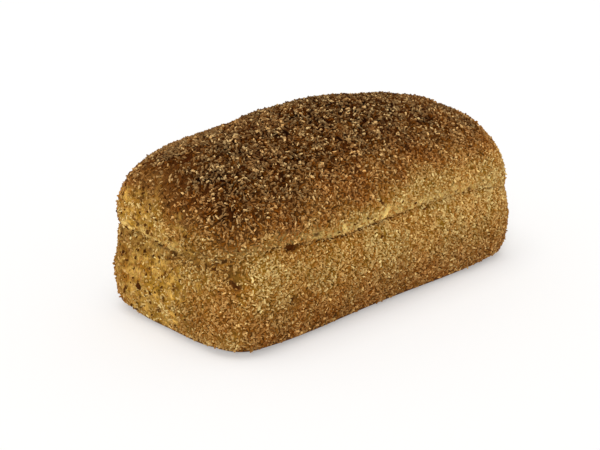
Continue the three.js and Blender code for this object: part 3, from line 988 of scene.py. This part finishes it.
class LOAF_OT_grains(Operator):
    """Scatters the cracked grain over the crust, one piece for each kind"""

    bl_idname = "loaf.grains"
    bl_label = "Cracked grain"

    def execute(self, context):
        scene = context.scene
        shape, bake, grain = scene.loaf_shape, scene.loaf_bake, scene.loaf_grain
        colours = scene.loaf_colours
        dull = (colours.grain_brown, colours.grain_russet, colours.grain_dark)
        bright = (colours.grain_gold, colours.grain_amber, colours.grain_tan)
        points, normals, above = crust_grid(shape)
        coat = grain_coat(points, above, shape, bake, grain)
        toast = browning(points, shape, bake)
        middle = np.array([grain.long, grain.wide, grain.thick])
        # Each kind: its piece, its material, its number, its size in grits and what dark crust lacks of it.
        kinds = (
            ("grain_grits", "wheat_grits_toasted", grain.grits, (1.0, 1.0, 1.0), 0.0),
            ("grain_splinters", "bran_splinters_toasted", grain.splinters, (1.4, 0.75, 0.65), 0.35),
            ("grain_meal", "wheat_meal_toasted", grain.meal, (0.62, 0.88, 0.82), 0.8),
        )
        for step, (name, made, count, scale, rarer) in enumerate(kinds):
            rng = np.random.default_rng(grain.seed + step)
            at, out = scatter(points, normals, coat * (1 - rarer * toast), count, rng)
            uneven = np.exp(np.clip(rng.normal(0, grain.spread, (count, 3)), *GRAIN_LIMITS))
            growth = 1 + grain.crown_growth * browning(at, shape, bake)
            sizes = middle * scale * uneven * growth[:, None]
            self.place(scene, name, at, out, sizes, grain_material(made, dull, bright, colours.ruddy), rng)

        rng = np.random.default_rng(grain.seed + len(kinds))
        open_crust = bareness(points, shape, bake) + SPECKS_ON_PALE * paleness(points, above, shape, bake)
        open_crust = open_crust + SPECKS_ON_THIN * thinness(points, shape)
        open_crust = open_crust * ease(points[..., 2], grain.lowest, SPECK_FOOT)
        drift = ease(field(points, SPECK_DRIFT), *SPECK_SPAN)
        at, out = scatter(points, normals, open_crust * drift, grain.specks, rng)
        uneven = np.exp(rng.normal(0, grain.speck_spread, (grain.specks, 3)))
        sizes = np.array(grain.speck_size) * uneven
        material = grain_material("bran_specks_dark", (colours.speck,) * 3, dull, colours.ruddy)
        self.place(scene, "bran_specks", at, out, sizes, material, rng)
        return {"FINISHED"}

    def place(self, scene, name, at, out, sizes, material, rng):
        """Makes one piece of the grains at the given places."""
        verts, tris = grain_points(at, out, sizes, scene.loaf_grain, rng)
        looks = grain_looks(at, scene.loaf_shape, scene.loaf_bake, rng)
        attributes = {key: np.repeat(values, len(verts) // len(at)) for key, values in looks.items()}
        uv = cell_map(len(at), len(tris) // len(at))
        piece = mesh_piece(name, verts, [tris], material, False, attributes, uv)
        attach(piece, "root")


class LOAF_OT_stage(Operator):
    """Sets the floor, the light and the camera"""

    bl_idname = "loaf.stage"
    bl_label = "Stage"

    def execute(self, context):
        scene = context.scene
        stage = scene.loaf_stage
        mesh = bpy.data.meshes.new("floor")
        corners = [(FLOOR_REACH * x, FLOOR_REACH * y, 0) for x, y in ((-1, -1), (1, -1), (1, 1), (-1, 1))]
        mesh.from_pydata(corners, [], [(0, 1, 2, 3)])
        mesh.materials.append(sheet_material(stage))
        floor = bpy.data.objects.new("floor", mesh)
        context.collection.objects.link(floor)

        world = bpy.data.worlds.new("soft_tent")
        world.use_nodes = True
        sky = world.node_tree.nodes["Background"]
        sky.inputs["Color"].default_value = (1, 1, 1, 1)
        sky.inputs["Strength"].default_value = stage.sky
        scene.world = world

        key = self.sun("key", stage.key, stage.key_soft, stage.key_from)
        fill = self.sun("fill", stage.fill, stage.fill_soft, stage.fill_from)

        a, e = math.radians(stage.azimuth), math.radians(stage.elevation)
        back = (math.sin(a) * math.cos(e), -math.cos(a) * math.cos(e), math.sin(e))
        right = (math.cos(a), math.sin(a), 0.0)
        up = np.cross(back, right)
        turn = Matrix((right, up, back)).transposed().to_4x4()
        lens = bpy.data.cameras.new("camera")
        lens.lens = stage.lens
        lens.sensor_width = SENSOR_MM
        camera = bpy.data.objects.new("camera", lens)
        camera.matrix_world = Matrix.Translation(stage.camera_at) @ turn
        context.collection.objects.link(camera)
        scene.camera = camera
        scene.view_settings.view_transform = "Standard"
        scene.view_settings.look = "None"
        return {"FINISHED"}

    def sun(self, name, strength, soft, way):
        """Distant light that fills an angle, shining from the given way."""
        light = bpy.data.lights.new(name, "SUN")
        light.energy = strength
        light.angle = math.radians(soft)
        lamp = bpy.data.objects.new(name, light)
        lamp.location = way
        lamp.rotation_euler = Vector(way).to_track_quat("Z", "Y").to_euler()
        bpy.context.collection.objects.link(lamp)
        return lamp


class LOAF_PT_panel(Panel):
    """Sizes, colours and steps of the loaf"""

    bl_idname = "LOAF_PT_panel"
    bl_label = "Tin loaf"
    bl_space_type = "VIEW_3D"
    bl_region_type = "UI"
    bl_category = "Loaf"

    def draw(self, context):
        layout = self.layout
        for group in GROUPS:
            box = layout.box()
            box.label(text=group.replace("_", " "))
            settings = getattr(context.scene, group)
            for key in settings.__annotations__:
                box.prop(settings, key)
        for operator in OPERATORS:
            layout.operator(operator.bl_idname)


GROUPS = {
    "loaf_shape": LoafShape,
    "loaf_bake": LoafBake,
    "loaf_grain": LoafGrain,
    "loaf_colours": LoafColours,
    "loaf_stage": LoafStage,
}
OPERATORS = (LOAF_OT_crust, LOAF_OT_grains, LOAF_OT_stage)


def register():
    """Registers the classes and gives the scene its groups of settings."""
    for cls in (*GROUPS.values(), *OPERATORS, LOAF_PT_panel):
        bpy.utils.register_class(cls)
    for key, cls in GROUPS.items():
        setattr(bpy.types.Scene, key, PointerProperty(type=cls))


def unregister():
    """Takes the settings and the classes away again."""
    for key in GROUPS:
        delattr(bpy.types.Scene, key)
    for cls in (LOAF_PT_panel, *reversed(OPERATORS), *reversed(GROUPS.values())):
        bpy.utils.unregister_class(cls)


def main():
    """Builds the loaf and its stage."""
    register()
    bpy.ops.loaf.crust()
    bpy.ops.loaf.grains()
    bpy.ops.loaf.stage()


if __name__ == "__main__":
    main()
